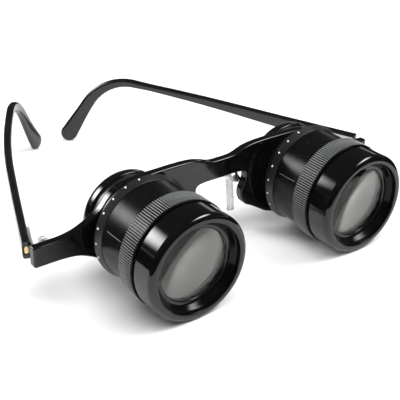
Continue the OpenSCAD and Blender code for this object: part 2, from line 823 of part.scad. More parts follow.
// Temple's leaf: plate on the temple's inner face with the middle knuckle
module hinge_temple_leaf(side) {
    leaf_front = temple_front + 0.5;
    color(steel) hinge_place(side) difference() {
        union() {
            rotate([0, 0, fold_of(side)])
                translate([temple_offset - seat_gap - temple_leaf_t, leaf_front, -leaf_h / 2])
                    cube([temple_leaf_t, temple_leaf_len, leaf_h]);
            leaned(side) rotate([0, 0, fold_of(side)]) translate([0, 0, -knuckle_each / 2]) {
                cylinder(r = knuckle_r, h = knuckle_each, $fn = 64);
                translate([0, -knuckle_r / 2, 0])
                    cube([temple_offset - temple_leaf_t / 2, knuckle_r, knuckle_each]);
            }
        }
        leaned(side) translate([0, 0, -knuckle_h])
            cylinder(r = hinge_screw_r + run_gap, h = 2 * knuckle_h, $fn = 64);
        rotate([0, 0, fold_of(side)]) for (y = temple_rivets)
            translate([knuckle_r, y, 0]) rotate([0, 90, 0])
                cylinder(r = rivet_r + seat_gap, h = temple_offset, $fn = 32);
    }
}

// Rivets that hold the temple's leaf
module temple_leaf_rivets(side) {
    leaf_face = temple_offset - seat_gap - temple_leaf_t;
    reach = temple_leaf_t + (temple_t + core_t) / 2;
    color(steel) hinge_place(side) rotate([0, 0, fold_of(side)]) for (y = temple_rivets)
        translate([leaf_face, y, 0]) {
            rotate([0, 90, 0]) cylinder(r = rivet_r, h = reach, $fn = 32);
            rotate([0, -90, 0]) cylinder(r = rivet_head_r, h = rivet_head_h, $fn = 32);
        }
}

// Hinge screw: shank through the three knuckles and a slotted head above them
module hinge_screw(side) {
    head_r = 1.25;
    head_h = 0.5;
    color(steel) hinge_place(side) leaned(side) difference() {
        union() {
            translate([0, 0, -knuckle_h / 2]) cylinder(r = hinge_screw_r, h = knuckle_h, $fn = 64);
            translate([0, 0, knuckle_h / 2]) cylinder(r = head_r, h = head_h, $fn = 64);
        }
        translate([-2, -0.2, knuckle_h / 2 + head_h / 2]) cube([4, 0.4, head_h]);
    }
}

// Rounded bar along the front of a temple's centre line
module core_bar(height, thickness, length, front_over) {
    steps = 12;
    sides = 12;
    squareness = 0.6;
    bar_at = function (s) temple_line_at(s);
    points = [
        for (i = [0 : steps])
            let (
                s = i == 0 ? -front_over : length * i / steps,
                up = up_at(max(s, 0)) * height / 2,
                out = cross(along_at(max(s, 0)), up_at(max(s, 0))) * thickness / 2
            )
            for (k = [0 : sides - 1])
                let (a = 360 * (k + 0.5) / sides)
                bar_at(s) + out * rounded(cos(a), squareness) + up * rounded(sin(a), squareness)
    ];
    polyhedron(points, tube_faces(steps + 1, sides));
}

// Point on a temple's centre line at a distance s from its front end
function temple_line_at(s) =
    s <= 0
        ? temple_start + s * along_at(0)
        : let (i = floor(s * long_steps / round_start), rest = s - temple_station(i))
            temple_line[i] + rest * along_at(temple_station(i) + rest / 2);

// Temple: tapered bar with an ear bend and a paddle, hollow in front for its core
module temple(side) {
    color(acetate) hinge_place(side) rotate([0, 0, fold_of(side)]) difference() {
        polyhedron(temple_points, tube_faces(temple_rings, section_sides));
        core_bar(core_h + 2 * seat_gap, core_t + 2 * seat_gap, core_len + seat_gap, over);
        for (y = temple_rivets)
            translate([knuckle_r, y, 0]) rotate([0, 90, 0])
                cylinder(r = rivet_r + seat_gap, h = temple_offset + (temple_t + core_t) / 2 - knuckle_r, $fn = 32);
    }
}

// Metal core whose front end shows in the temple's end
module temple_core(side) {
    color(gold) hinge_place(side) rotate([0, 0, fold_of(side)]) difference() {
        core_bar(core_h, core_t, core_len, 0);
        for (y = temple_rivets)
            translate([knuckle_r, y, 0]) rotate([0, 90, 0])
                cylinder(r = rivet_r + seat_gap, h = 2 * temple_offset, $fn = 32);
    }
}

// Root of the right pad arm in the frame plate, and its depth there
arm_root = [nose_half + 3.2, plate_t, -0.9];
arm_depth = 1.5;

// Place of the middle of a pad arm's back plate, in the pad's own directions
box_x = pad_t / 2 + lug_stand + lug_r + 2 * run_gap + cheek_t / 2;

// Point given in the right pad's own directions, in the frame before the part is stood up
function pad_point(p) =
    let (
        x = p[0] * cos(pad_splay) - p[2] * sin(pad_splay),
        z = p[0] * sin(pad_splay) + p[2] * cos(pad_splay)
    )
    [
        pad_x + x * cos(pad_turn) + p[1] * sin(pad_turn),
        pad_y - x * sin(pad_turn) + p[1] * cos(pad_turn),
        pad_z + z
    ];

// Route of the right pad arm's wire, from the frame plate in an arch to the top of the pad's box
arm_route = [
    arm_root - [0, 0.3, 0],
    arm_root + [0, 0.6, 0],
    arm_root + [-0.6, 1.4, 1.2],
    arm_root + [-1.1, 2.5, 2.4],
    pad_point([box_x - 0.5, -0.3, pivot_up + 2.4]),
    pad_point([box_x, 0, pivot_up + 0.5]),
];

// Wire along a route, with its sections square to the route
module wire(route, r) {
    sides = 10;
    last = len(route) - 1;
    points = [
        for (i = [0 : last])
            let (
                along = route[min(i + 1, last)] - route[max(i - 1, 0)],
                across = cross(along, [1, 0, 0]),
                u = across / norm(across),
                v = cross(u, along) / norm(along)
            )
            for (k = [0 : sides - 1])
                route[i] + r * (u * cos(360 * k / sides) + v * sin(360 * k / sides))
    ];
    polyhedron(points, tube_faces(last + 1, sides));
}

// Pad arm: wire from the frame plate to a box with two cheeks, which holds the pad's lug
module nose_pad_arm(side) {
    box_h = 2 * lug_r;
    cheek_from = pad_t / 2 + 0.45;
    cheek_len = box_x + cheek_t / 2 - cheek_from;
    color(satin) {
        stand() flip(side) {
            translate(arm_root) rotate([90, 0, 0]) cylinder(r = arm_r, h = arm_depth, $fn = 32);
            wire(curve(arm_route, 5), arm_r);
        }
        pad_place(side) translate([0, 0, pivot_up]) difference() {
            union() {
                translate([box_x - cheek_t / 2, -lug_w / 2 - run_gap - cheek_t, -box_h / 2])
                    cube([cheek_t, lug_w + 2 * run_gap + 2 * cheek_t, box_h]);
                for (y = [-lug_w / 2 - run_gap - cheek_t, lug_w / 2 + run_gap])
                    translate([cheek_from, y, -box_h / 2]) cube([cheek_len, cheek_t, box_h]);
            }
            translate([pad_t / 2 + lug_stand, lug_w, 0]) rotate([90, 0, 0])
                cylinder(r = pad_screw_r + seat_gap, h = 2 * lug_w, $fn = 32);
        }
    }
}

// Screw through the cheeks and the lug
module nose_pad_screw(side) {
    cheek_face = lug_w / 2 + run_gap + cheek_t;
    color(steel) pad_place(side) translate([pad_t / 2 + lug_stand, 0, pivot_up]) rotate([90, 0, 0]) {
        translate([0, 0, -cheek_face]) cylinder(r = pad_screw_r, h = 2 * cheek_face, $fn = 32);
        translate([0, 0, cheek_face]) cylinder(r = pad_screw_r + 0.25, h = 0.3, $fn = 32);
    }
}

// Nose pad: soft rounded plate with a lug on its outer face
module nose_pad(side) {
    edge = 0.55;
    end_r = pad_w / 2 - 0.4;
    color(pad_clear) pad_place(side) difference() {
        union() {
            hull() for (z = [-1, 1], face = [-1, 1])
                translate([0, 0, z * (pad_len - pad_w) / 2]) rotate([0, 90, 0]) {
                    translate([0, 0, face * (pad_t / 2 - edge)]) cylinder(r = pad_w / 2, h = 0.01, $fn = 32);
                    translate([0, 0, face * (pad_t / 2 - 0.01)]) cylinder(r = end_r, h = 0.01, $fn = 32);
                }
            translate([0, -lug_w / 2, pivot_up - lug_r])
                cube([pad_t / 2 + lug_stand, lug_w, 2 * lug_r]);
            translate([pad_t / 2 + lug_stand, lug_w / 2, pivot_up]) rotate([90, 0, 0])
                cylinder(r = lug_r, h = lug_w, $fn = 32);
        }
        translate([pad_t / 2 + lug_stand, lug_w, pivot_up]) rotate([90, 0, 0])
            cylinder(r = pad_screw_r + run_gap, h = 2 * lug_w, $fn = 32);
    }
}

frame_front();
fixed_tube(LEFT);  // left_fixed_tube
fixed_tube(RIGHT);  // right_fixed_tube
lock_ring(LEFT);  // left_lock_ring
lock_ring(RIGHT);  // right_lock_ring
index_ring(LEFT);  // left_index_ring
index_ring(RIGHT);  // right_index_ring
eyecup(LEFT);  // left_eyecup
eyecup(RIGHT);  // right_eyecup
eye_lens(LEFT);  // left_eye_lens
eye_lens(RIGHT);  // right_eye_lens
eye_lens_ring(LEFT);  // left_eye_lens_ring
eye_lens_ring(RIGHT);  // right_eye_lens_ring
focus_ring(LEFT);  // left_focus_ring
focus_ring(RIGHT);  // right_focus_ring
focus_retainer(LEFT);  // left_focus_retainer
focus_retainer(RIGHT);  // right_focus_retainer
draw_tube(LEFT);  // left_draw_tube
draw_tube(RIGHT);  // right_draw_tube
guide_pin(LEFT);  // left_guide_pin
guide_pin(RIGHT);  // right_guide_pin
objective_bell(LEFT);  // left_objective_bell
objective_bell(RIGHT);  // right_objective_bell
objective_crown(LEFT);  // left_objective_crown
objective_crown(RIGHT);  // right_objective_crown
objective_flint(LEFT);  // left_objective_flint
objective_flint(RIGHT);  // right_objective_flint
objective_ring(LEFT);  // left_objective_ring
objective_ring(RIGHT);  // right_objective_ring
hinge_front_leaf(LEFT);  // left_hinge_front_leaf
hinge_front_leaf(RIGHT);  // right_hinge_front_leaf
hinge_temple_leaf(LEFT);  // left_hinge_temple_leaf
hinge_temple_leaf(RIGHT);  // right_hinge_temple_leaf
hinge_screw(LEFT);  // left_hinge_screw
hinge_screw(RIGHT);  // right_hinge_screw
front_leaf_rivets(LEFT);  // left_front_leaf_rivets
front_leaf_rivets(RIGHT);  // right_front_leaf_rivets
temple_leaf_rivets(LEFT);  // left_temple_leaf_rivets
temple_leaf_rivets(RIGHT);  // right_temple_leaf_rivets
temple(LEFT);  // left_temple
temple(RIGHT);  // right_temple
temple_core(LEFT);  // left_temple_core
temple_core(RIGHT);  // right_temple_core
nose_pad_arm(LEFT);  // left_nose_pad_arm
nose_pad_arm(RIGHT);  // right_nose_pad_arm
nose_pad_screw(LEFT);  // left_nose_pad_screw
nose_pad_screw(RIGHT);  // right_nose_pad_screw
nose_pad(LEFT);  // left_nose_pad
nose_pad(RIGHT);  // right_nose_pad
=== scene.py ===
"""Looks of the binocular glasses.

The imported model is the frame. Turned pieces of the two telescopes are spun again with rounded edges,
the plate, the temples and the small hardware are bevelled copies, and every surface gets a finish.
Sizes are millimetres and angles are degrees, unless a name or a docstring says otherwise.
"""

import json
import logging
import math
from dataclasses import dataclass
from enum import Enum

import bmesh
import bpy
from mathutils import Matrix, Vector

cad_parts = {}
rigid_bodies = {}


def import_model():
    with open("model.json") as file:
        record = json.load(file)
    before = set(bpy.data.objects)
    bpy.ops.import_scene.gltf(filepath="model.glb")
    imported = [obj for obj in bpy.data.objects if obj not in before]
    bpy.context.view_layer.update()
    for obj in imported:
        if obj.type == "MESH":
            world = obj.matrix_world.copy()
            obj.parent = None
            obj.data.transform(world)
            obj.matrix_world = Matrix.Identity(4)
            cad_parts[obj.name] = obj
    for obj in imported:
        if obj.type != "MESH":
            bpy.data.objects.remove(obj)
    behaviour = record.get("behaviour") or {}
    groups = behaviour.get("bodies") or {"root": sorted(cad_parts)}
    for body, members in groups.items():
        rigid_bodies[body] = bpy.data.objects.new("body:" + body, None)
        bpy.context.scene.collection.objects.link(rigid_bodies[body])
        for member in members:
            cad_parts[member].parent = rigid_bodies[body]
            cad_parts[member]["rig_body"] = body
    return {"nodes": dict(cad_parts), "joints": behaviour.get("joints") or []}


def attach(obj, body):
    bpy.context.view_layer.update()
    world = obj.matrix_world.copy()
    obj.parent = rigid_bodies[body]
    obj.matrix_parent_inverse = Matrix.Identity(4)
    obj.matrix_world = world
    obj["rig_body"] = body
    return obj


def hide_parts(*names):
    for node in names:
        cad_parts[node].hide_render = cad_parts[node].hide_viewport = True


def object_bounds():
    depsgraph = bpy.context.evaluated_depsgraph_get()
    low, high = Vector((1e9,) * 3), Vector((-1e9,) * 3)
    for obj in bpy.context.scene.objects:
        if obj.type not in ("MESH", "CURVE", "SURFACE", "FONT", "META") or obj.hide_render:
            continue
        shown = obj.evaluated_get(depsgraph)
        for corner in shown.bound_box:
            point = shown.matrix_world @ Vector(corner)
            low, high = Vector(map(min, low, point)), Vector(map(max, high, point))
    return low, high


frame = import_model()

CAD_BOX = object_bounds()
MM = 0.001
# Distances under which points are made one: in millimetres, and in metres
SEAM = 1e-4
SEAM_M = 1e-6
COPY_SEAM_M = 2e-6
# Edges that are sharper than this are rounded, and large faces keep their normals by this weight
SHARP_ANGLE = 32
FLAT_WEIGHT = 80
# Steps across a corner's rounding, below and above a size, and steps of a spin
FINE_ROUND = 0.5
FINE_STEPS = 3
BROAD_STEPS = 7
RING_STEPS = 160
BELL_STEPS = 192
LENS_STEPS = 128
SKIN_STEPS = 96

logging.basicConfig(level=logging.INFO, format="%(name)s: %(message)s")
log = logging.getLogger("binocular_glasses")

Corner = tuple[float, float, float]
Colour = tuple[float, float, float]


class Side(Enum):
    """Side of the wearer, as seen from the front of the object."""

    LEFT = -1
    RIGHT = 1

    @property
    def word(self) -> str:
        """Word that starts the names of this side's nodes."""
        return self.name.lower()


class Pattern(Enum):
    """Pattern of a finish's fine grain, with its stretch along each axis."""

    CLOUDED = (1.0, 1.0, 1.0)
    TURNED = (0.12, 3.0, 0.12)
    BRUSHED = (1.0, 1.0, 6.0)


def map_range(tree: bpy.types.NodeTree, start: float, end: float, low: float, high: float,
              smooth: bool = False) -> bpy.types.Node:
    """Adds a node that maps one span of values to another.

    Args:
        tree: Tree of the node.
        start: Value that gives low.
        end: Value that gives high.
        low: Result at the start.
        high: Result at the end.
        smooth: True where the result eases in and out.

    Returns:
        The map range node.
    """
    node = tree.nodes.new("ShaderNodeMapRange")
    if smooth:
        node.interpolation_type = "SMOOTHSTEP"
    for socket, value in (("From Min", start), ("From Max", end), ("To Min", low), ("To Max", high)):
        node.inputs[socket].default_value = value
    return node


class Shader:
    """Small builder of one material's node tree."""

    def __init__(self, name: str) -> None:
        """Starts an empty material.

        Args:
            name: Name of the material.
        """
        self.material = bpy.data.materials.new(name)
        self.material.use_nodes = True
        self.tree = self.material.node_tree
        self.tree.nodes.clear()
        self.output = self.tree.nodes.new("ShaderNodeOutputMaterial")
        self.surface = self.add("ShaderNodeBsdfPrincipled")
        self.link(self.surface, "BSDF", self.output, "Surface")
        self.place = self.add("ShaderNodeTexCoord")

    def add(self, kind: str, **settings: object) -> bpy.types.Node:
        """Adds a node.

        Args:
            kind: Type name of the node.
            **settings: Values of its sockets, with underscores for the spaces in their names.

        Returns:
            The new node.
        """
        node = self.tree.nodes.new(kind)
        for socket, value in settings.items():
            node.inputs[socket.replace("_", " ")].default_value = value
        return node

    def link(self, source: bpy.types.Node, output: str | int, target: bpy.types.Node,
             socket: str | int) -> None:
        """Joins an output of one node to a socket of another."""
        self.tree.links.new(source.outputs[output], target.inputs[socket])

    def stretched(self, scale: tuple[float, float, float] = (1, 1, 1)) -> bpy.types.Node:
        """Adds object coordinates with their own stretch.

        Args:
            scale: Stretch along each axis.

        Returns:
            The mapping node.
        """
        mapping = self.add("ShaderNodeMapping", Scale=scale)
        self.link(self.place, "Object", mapping, "Vector")
        return mapping

    def noise(self, mapping: bpy.types.Node, scale: float, detail: float = 3.0,
              rough: float = 0.5) -> bpy.types.Node:
        """Adds a noise on a mapping.

        Args:
            mapping: Source of the coordinates.
            scale: Number of features along a metre.
            detail: Octaves of finer noise.
            rough: Strength of the finer octaves.

        Returns:
            The noise node.
        """
        node = self.add("ShaderNodeTexNoise", Scale=scale, Detail=detail, Roughness=rough)
        self.link(mapping, "Vector", node, "Vector")
        return node

    def span(self, source: bpy.types.Node, output: str, low: float, high: float,
             start: float = 0.3, end: float = 0.7) -> bpy.types.Node:
        """Maps a node's output from one span to another.

        Args:
            source: Node with the value.
            output: Name of its output.
            low: Result at the start.
            high: Result at the end.
            start: Value that gives low.
            end: Value that gives high.

        Returns:
            The map range node.
        """
        node = map_range(self.tree, start, end, low, high)
        self.link(source, output, node, "Value")
        return node

    def tint(self, share: bpy.types.Node, output: str, low: Colour, high: Colour) -> bpy.types.Node:
        """Mixes two colours by a share.

        Args:
            share: Node with the share.
            output: Name of its output.
            low: Colour at a share of 0.
            high: Colour at a share of 1.

        Returns:
            The mix node, whose output 2 is the colour.
        """
        node = self.tree.nodes.new("ShaderNodeMix")
        node.data_type = "RGBA"
        node.inputs[6].default_value = (*low, 1)
        node.inputs[7].default_value = (*high, 1)
        self.link(share, output, node, 0)
        return node

    def relief(self, source: bpy.types.Node, output: str, strength: float, depth: float) -> None:
        """Adds a bump and joins it to the surface.

        Args:
            source: Node with the height.
            output: Name of its output.
            strength: Share of the bump.
            depth: Depth of the bump.
        """
        node = self.add("ShaderNodeBump", Strength=strength, Distance=depth * MM)
        self.link(source, output, node, "Height")
        self.link(node, "Normal", self.surface, "Normal")


@dataclass(frozen=True)
class Finish:
    """Finish of an opaque surface: its colour, its gloss, its fine grain, and the wear and dust on it.

    Grain, clouds, specks and patches are numbers of features along a metre.
    """

    slot: str
    colour: Colour
    rough: float
    metal: float = 0.0
    ior: float = 1.5
    coat: float = 0.0
    coat_rough: float = 0.03
    pattern: Pattern = Pattern.CLOUDED
    grain: float = 600.0
    relief: float = 0.15
    depth: float = 0.02
    clouds: float = 90.0
    wear: float = 0.35
    dust: float = 0.0
    dust_colour: Colour = (0.4, 0.4, 0.38)
    specks: float = 900.0
    speck_reach: float = 0.16
    patches: float = 260.0
    patch_span: tuple[float, float] = (0.48, 0.62)
    name: str = ""

    def material(self) -> bpy.types.Material:
        """Builds the node material.

        Returns:
            The material.
        """
        shader = Shader(self.name or self.slot)
        surface = shader.surface
        surface.inputs["Metallic"].default_value = self.metal
        surface.inputs["IOR"].default_value = self.ior
        surface.inputs["Coat Weight"].default_value = self.coat
        surface.inputs["Coat Roughness"].default_value = self.coat_rough
        fine = shader.noise(shader.stretched(self.pattern.value), self.grain, 4.0, 0.6)
        cloud = shader.noise(shader.stretched(), self.clouds, 3.0, 0.55)
        light = tuple(min(1.0, c * (1 + self.wear) + 0.002) for c in self.colour)
        # Clouds of a lighter tone are wear; on the crest finish the colour itself is a painted highlight
        wear_and_highlight = shader.tint(cloud, "Fac", self.colour, light)
        if self.dust > 0:
            wear_and_highlight = self.dusted(shader, wear_and_highlight)
        shader.link(wear_and_highlight, 2, surface, "Base Color")
        gloss = shader.span(cloud, "Fac", self.rough * (1 - self.wear / 2), self.rough * (1 + self.wear))
        shader.link(gloss, "Result", surface, "Roughness")
        shader.relief(fine, "Fac", self.relief, self.depth)
        return shader.material

    def dusted(self, shader: Shader, under: bpy.types.Node) -> bpy.types.Node:
        """Scatters small pale specks over a colour, in patches.

        Args:
            shader: The material's builder.
            under: Mix node with the colour below the specks.

        Returns:
            Mix node with the specks.
        """
        cells = shader.add("ShaderNodeTexVoronoi", Scale=self.specks)
        shader.link(shader.place, "Object", cells, "Vector")
        speck = shader.span(cells, "Distance", self.dust, 0.0, 0.0, self.speck_reach)
        patchy = shader.noise(shader.stretched(), self.patches, 2.0, 0.6)
        where = shader.span(patchy, "Fac", 0.0, 1.0, *self.patch_span)
        share = shader.tree.nodes.new("ShaderNodeMath")
        share.operation = "MULTIPLY"
        shader.link(speck, "Result", share, 0)
        shader.link(where, "Result", share, 1)
        mixed = shader.tint(share, "Value", self.colour, self.dust_colour)
        shader.link(under, 2, mixed, 6)
        return mixed


@dataclass(frozen=True)
class ClearFinish:
    """Finish of a clear body, such as a lens or a soft pad, with clouds of haze in it."""

    slot: str
    colour: Colour
    rough: float
    ior: float
    haze: float = 0.0
    haze_colour: Colour = (0.6, 0.6, 0.58)
    haze_span: tuple[float, float] = (0.42, 0.62)
    grain: float = 120.0
    relief: float = 0.0
    depth: float = 0.1
    mirror: float = 1.0
    streak: float = 1.0
    name: str = ""

    def material(self) -> bpy.types.Material:
        """Builds the node material.

        Returns:
            The material.
        """
        shader = Shader(self.name or self.slot)
        surface = shader.surface
        surface.inputs["IOR"].default_value = self.ior
        surface.inputs["Specular Tint"].default_value = (self.mirror, self.mirror, self.mirror, 1)
        cloud = shader.noise(shader.stretched((1, 1, self.streak)), self.grain, 3.0, 0.6)
        share = shader.span(cloud, "Fac", 0.0, 1.0, *self.haze_span)
        hazed = tuple((a + b) / 2 for a, b in zip(self.colour, self.haze_colour))
        tinted = shader.tint(share, "Result", self.colour, hazed)
        shader.link(tinted, 2, surface, "Base Color")
        clear = shader.span(cloud, "Fac", 1.0 - self.haze, 1.0 - self.haze * 0.4)
        shader.link(clear, "Result", surface, "Transmission Weight")
        gloss = shader.span(cloud, "Fac", self.rough, self.rough * 2)
        shader.link(gloss, "Result", surface, "Roughness")
        if self.relief > 0:
            shader.relief(cloud, "Fac", self.relief, self.depth)
        return shader.material


AnyFinish = Finish | ClearFinish


class Finishes:
    """All finishes of the object, each made a material once."""

    # Lacquered and painted metal of the telescopes
    LACQUER = Finish("black_lacquer", (0.002, 0.002, 0.0022), 0.07, ior=1.46, relief=0.03, dust=0.10)
    RECESS = Finish("black_lacquer", (0.002, 0.002, 0.002), 0.13, ior=1.24, relief=0.1,
                    name="recess_lacquer")
    BARREL = Finish("satin_black", (0.003, 0.003, 0.0033), 0.22, ior=1.21, pattern=Pattern.TURNED,
                    relief=0.2, dust=0.2, name="smooth_barrel")
    SATIN = Finish("satin_black", (0.010, 0.0112, 0.0115), 0.30, pattern=Pattern.TURNED, relief=0.25,
                   dust=0.55, name="satin_black")
    KNURL = Finish("satin_black", (0.012, 0.0128, 0.0128), 0.34, relief=0.2, dust=0.3,
                   name="ridged_band")
    # Lighter grey on the ridge crests is a painted highlight: it stands for the light that the crests
    # catch
    CREST_HIGHLIGHT = Finish("satin_black", (0.24, 0.255, 0.252), 0.36, relief=0.2, wear=0.5, name="ridge_crest")
    LINING = Finish("satin_black", (0.85, 0.84, 0.81), 0.6, ior=1.4, relief=0.2, name="grey_lining")
    INSIDE = Finish("satin_black", (0.002, 0.002, 0.002), 0.8, ior=1.2, relief=0.1, name="flat_black")
    PAINT = Finish("satin_black", (0.82, 0.82, 0.78), 0.5, relief=0.3, wear=0.05, name="mark_paint")
    LINE_PAINT = Finish("satin_black", (0.14, 0.145, 0.145), 0.5, relief=0.3, wear=0.3,
                        name="line_paint")
    # Moulded and sheet plastics
    PLATE = Finish("frame_acetate", (0.002, 0.002, 0.0022), 0.07, ior=1.48, relief=0.04, grain=220.0,
                   depth=0.05, dust=0.3)
    TEMPLE = Finish("temple_acetate", (0.004, 0.0048, 0.0048), 0.16, relief=0.05, grain=180.0,
                    depth=0.05, dust=0.12)
    EYECUP = Finish("eyecup_plastic", (0.003, 0.003, 0.0033), 0.06, relief=0.03)
    # Bare metal and wire
    STEEL = Finish("hinge_steel", (0.80, 0.77, 0.74), 0.42, metal=0.8, pattern=Pattern.BRUSHED,
                   grain=900.0, relief=0.4, wear=0.2)
    CORE = Finish("core_metal", (0.66, 0.50, 0.25), 0.32, metal=1.0, pattern=Pattern.BRUSHED,
                  grain=700.0, relief=0.4, wear=0.3)
    WIRE = Finish("arm_wire", (0.014, 0.014, 0.015), 0.22, ior=1.6, relief=0.1)
    # Clear bodies
    GLASS = ClearFinish("optical_glass", (0.985, 0.985, 0.97), 0.005, 1.6, haze=0.006,
                        haze_colour=(0.93, 0.93, 0.91), mirror=0.3)
    EYE_GLASS = ClearFinish("optical_glass", (0.97, 0.98, 0.94), 0.16, 1.6, haze=0.06,
                            name="eye_glass")
    PAD = ClearFinish("pad_silicone", (0.93, 0.94, 0.93), 0.08, 1.43, haze=0.55,
                      haze_colour=(0.16, 0.14, 0.12), grain=500.0, relief=0.6, streak=0.22)

    def __init__(self) -> None:
        """Starts with no material made."""
        self.made: dict[str, bpy.types.Material] = {}

    def of(self, finish: AnyFinish) -> bpy.types.Material:
        """Material of a finish, made at its first use.

        Args:
            finish: The finish.

        Returns:
            The material.
        """
        key = finish.name or finish.slot
        if key not in self.made:
            self.made[key] = finish.material()
        return self.made[key]


FINISHES = Finishes()


def packed_joint(name: str) -> dict:
    """Packed joint with a name.

    Args:
        name: Name of the joint.

    Returns:
        The joint's entry in the record.
    """
    return next(j for j in frame["joints"] if j["name"] == name)


def settle(bm: bmesh.types.BMesh, name: str, place: Matrix | None = None) -> bpy.types.Object:
    """Closes a bmesh's seams, turns its faces outwards and makes it an object at the origin.

    Args:
        bm: The mesh under work, which is freed. It is in millimetres if place is given.
        name: Name of the object.
        place: Transform into the frame, put in the mesh.

    Returns:
        The object.
    """
    bmesh.ops.remove_doubles(bm, verts=bm.verts, dist=SEAM if place else SEAM_M)
    bmesh.ops.recalc_face_normals(bm, faces=bm.faces)
    if place:
        bmesh.ops.transform(bm, matrix=place, verts=bm.verts)
    mesh = bpy.data.meshes.new(name)
    bm.to_mesh(mesh)
    bm.free()
    mesh.polygons.foreach_set("use_smooth", [True] * len(mesh.polygons))
    piece = bpy.data.objects.new(name, mesh)
    bpy.context.scene.collection.objects.link(piece)
    return piece


def weigh_normals(piece: bpy.types.Object) -> None:
    """Lets large flat faces keep their own normals next to small rounded edges.

    Args:
        piece: The piece.
    """
    weighted = piece.modifiers.new("weighted", "WEIGHTED_NORMAL")
    weighted.keep_sharp = True
    weighted.weight = FLAT_WEIGHT


def dress(piece: bpy.types.Object, finish: AnyFinish, body: str, *nodes: str) -> bpy.types.Object:
    """Gives a new piece its material and its body, and lets it stand for CAD nodes.

    Args:
        piece: The piece, in place.
        finish: Its finish.
        body: Body that it rides on.
        *nodes: CAD nodes that it stands for.

    Returns:
        The piece.
    """
    piece.data.materials.append(FINISHES.of(finish))
    if nodes:
        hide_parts(*nodes)
    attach(piece, body)
    log.info("%s rides on %s with %d faces", piece.name, body, len(piece.data.polygons))
    return piece


def round_corners(bm: bmesh.types.BMesh, corners: list[Corner], verts: list[bmesh.types.BMVert]) -> None:
    """Rounds the corners of an outline, one size after the other.

    Args:
        bm: The mesh with the outline.
        corners: Radius, station and rounding of each corner.
        verts: Vertex of each corner.
    """
    for size in sorted({c[2] for c in corners if c[2] > 0}):
        picked = [v for v, c in zip(verts, corners) if c[2] == size]
        steps = FINE_STEPS if size < FINE_ROUND else BROAD_STEPS
        bmesh.ops.bevel(bm, geom=picked, offset=size, offset_type="OFFSET", segments=steps,
                        profile=0.5, affect="VERTICES", material=-1)


def turned(name: str, corners: list[Corner], place: Matrix,
           steps: int = RING_STEPS) -> bpy.types.Object:
    """Spins a closed outline round a telescope's axis.

    Args:
        name: Name of the piece.
        corners: Radius, station and rounding of each corner.
        place: Transform from the telescope's own millimetres into the frame.
        steps: Steps of the spin.

    Returns:
        The piece.
    """
    bm = bmesh.new()
    verts = [bm.verts.new((r, 0, z)) for r, z, _ in corners]
    bm.faces.new(verts)
    round_corners(bm, corners, verts)
    bmesh.ops.delete(bm, geom=bm.faces[:], context="FACES_ONLY")
    bmesh.ops.spin(bm, geom=bm.verts[:] + bm.edges[:], cent=(0, 0, 0), axis=(0, 0, 1), angle=math.tau,
                   steps=steps, use_merge=True, use_normal_flip=False, use_duplicate=False)
    piece = settle(bm, name, place)
    weigh_normals(piece)
    return piece


def arc(radius: float, reach: float, edge: float, hollow: bool, steps: int = 14) -> list[Corner]:
    """Corners along a lens face, from the axis to the edge.

    Args:
        radius: Radius of curvature.
        reach: Distance of the edge from the axis.
        edge: Station of the edge.
        hollow: True where the face lies behind its edge at the axis.
        steps: Number of steps along it.

    Returns:
        The corners, with no rounding.
    """
    flat = math.sqrt(radius**2 - reach**2)
    side = -1 if hollow else 1
    radii = [reach * i / steps for i in range(steps + 1)]
    return [(r, edge + side * (math.sqrt(radius**2 - r**2) - flat), 0) for r in radii]


def bevelled_copy(node: str, width: float, segments: int = 2, flat: float = 0.5) -> bpy.types.Object:
    """Copies a CAD node, merges its triangles and rounds its edges.

    Args:
        node: Name of the node.
        width: Width of the rounding.
        segments: Steps across it.
        flat: Largest angle between triangles that are made one face, or 0 to keep them all.

    Returns:
        The piece, which isn't dressed yet.
    """
    bm = bmesh.new()
    bm.from_mesh(frame["nodes"][node].data)
    bmesh.ops.remove_doubles(bm, verts=bm.verts, dist=COPY_SEAM_M)
    if flat:
        bmesh.ops.dissolve_limit(bm, angle_limit=math.radians(flat), verts=bm.verts, edges=bm.edges)
    piece = settle(bm, node + "_dressed")
    bevel = piece.modifiers.new("edges", "BEVEL")
    bevel.width = width * MM
    bevel.segments = segments
    bevel.limit_method = "ANGLE"
    bevel.angle_limit = math.radians(SHARP_ANGLE)
    bevel.use_clamp_overlap = False
    weigh_normals(piece)
    return piece


def dress_copy(node: str, finish: AnyFinish, width: float, segments: int = 2,
               flat: float = 0.5) -> bpy.types.Object:
    """Lets a bevelled copy stand for its own CAD node.

    Args:
        node: Name of the node.
        finish: Its finish.
        width: Width of the rounding.
        segments: Steps across it.
        flat: Largest angle between triangles that are made one face, or 0 to keep them all.

    Returns:
        The piece.
    """
    body = frame["nodes"][node]["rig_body"]
    return dress(bevelled_copy(node, width, segments, flat), finish, body, node)


def coat_node(node: str, finish: AnyFinish) -> None:
    """Gives a CAD node that stays as it is a finish.

    Args:
        node: Name of the node.
        finish: Its finish.
    """
    for place in frame["nodes"][node].material_slots:
        place.material = FINISHES.of(finish)
    log.info("%s keeps its own mesh", node)


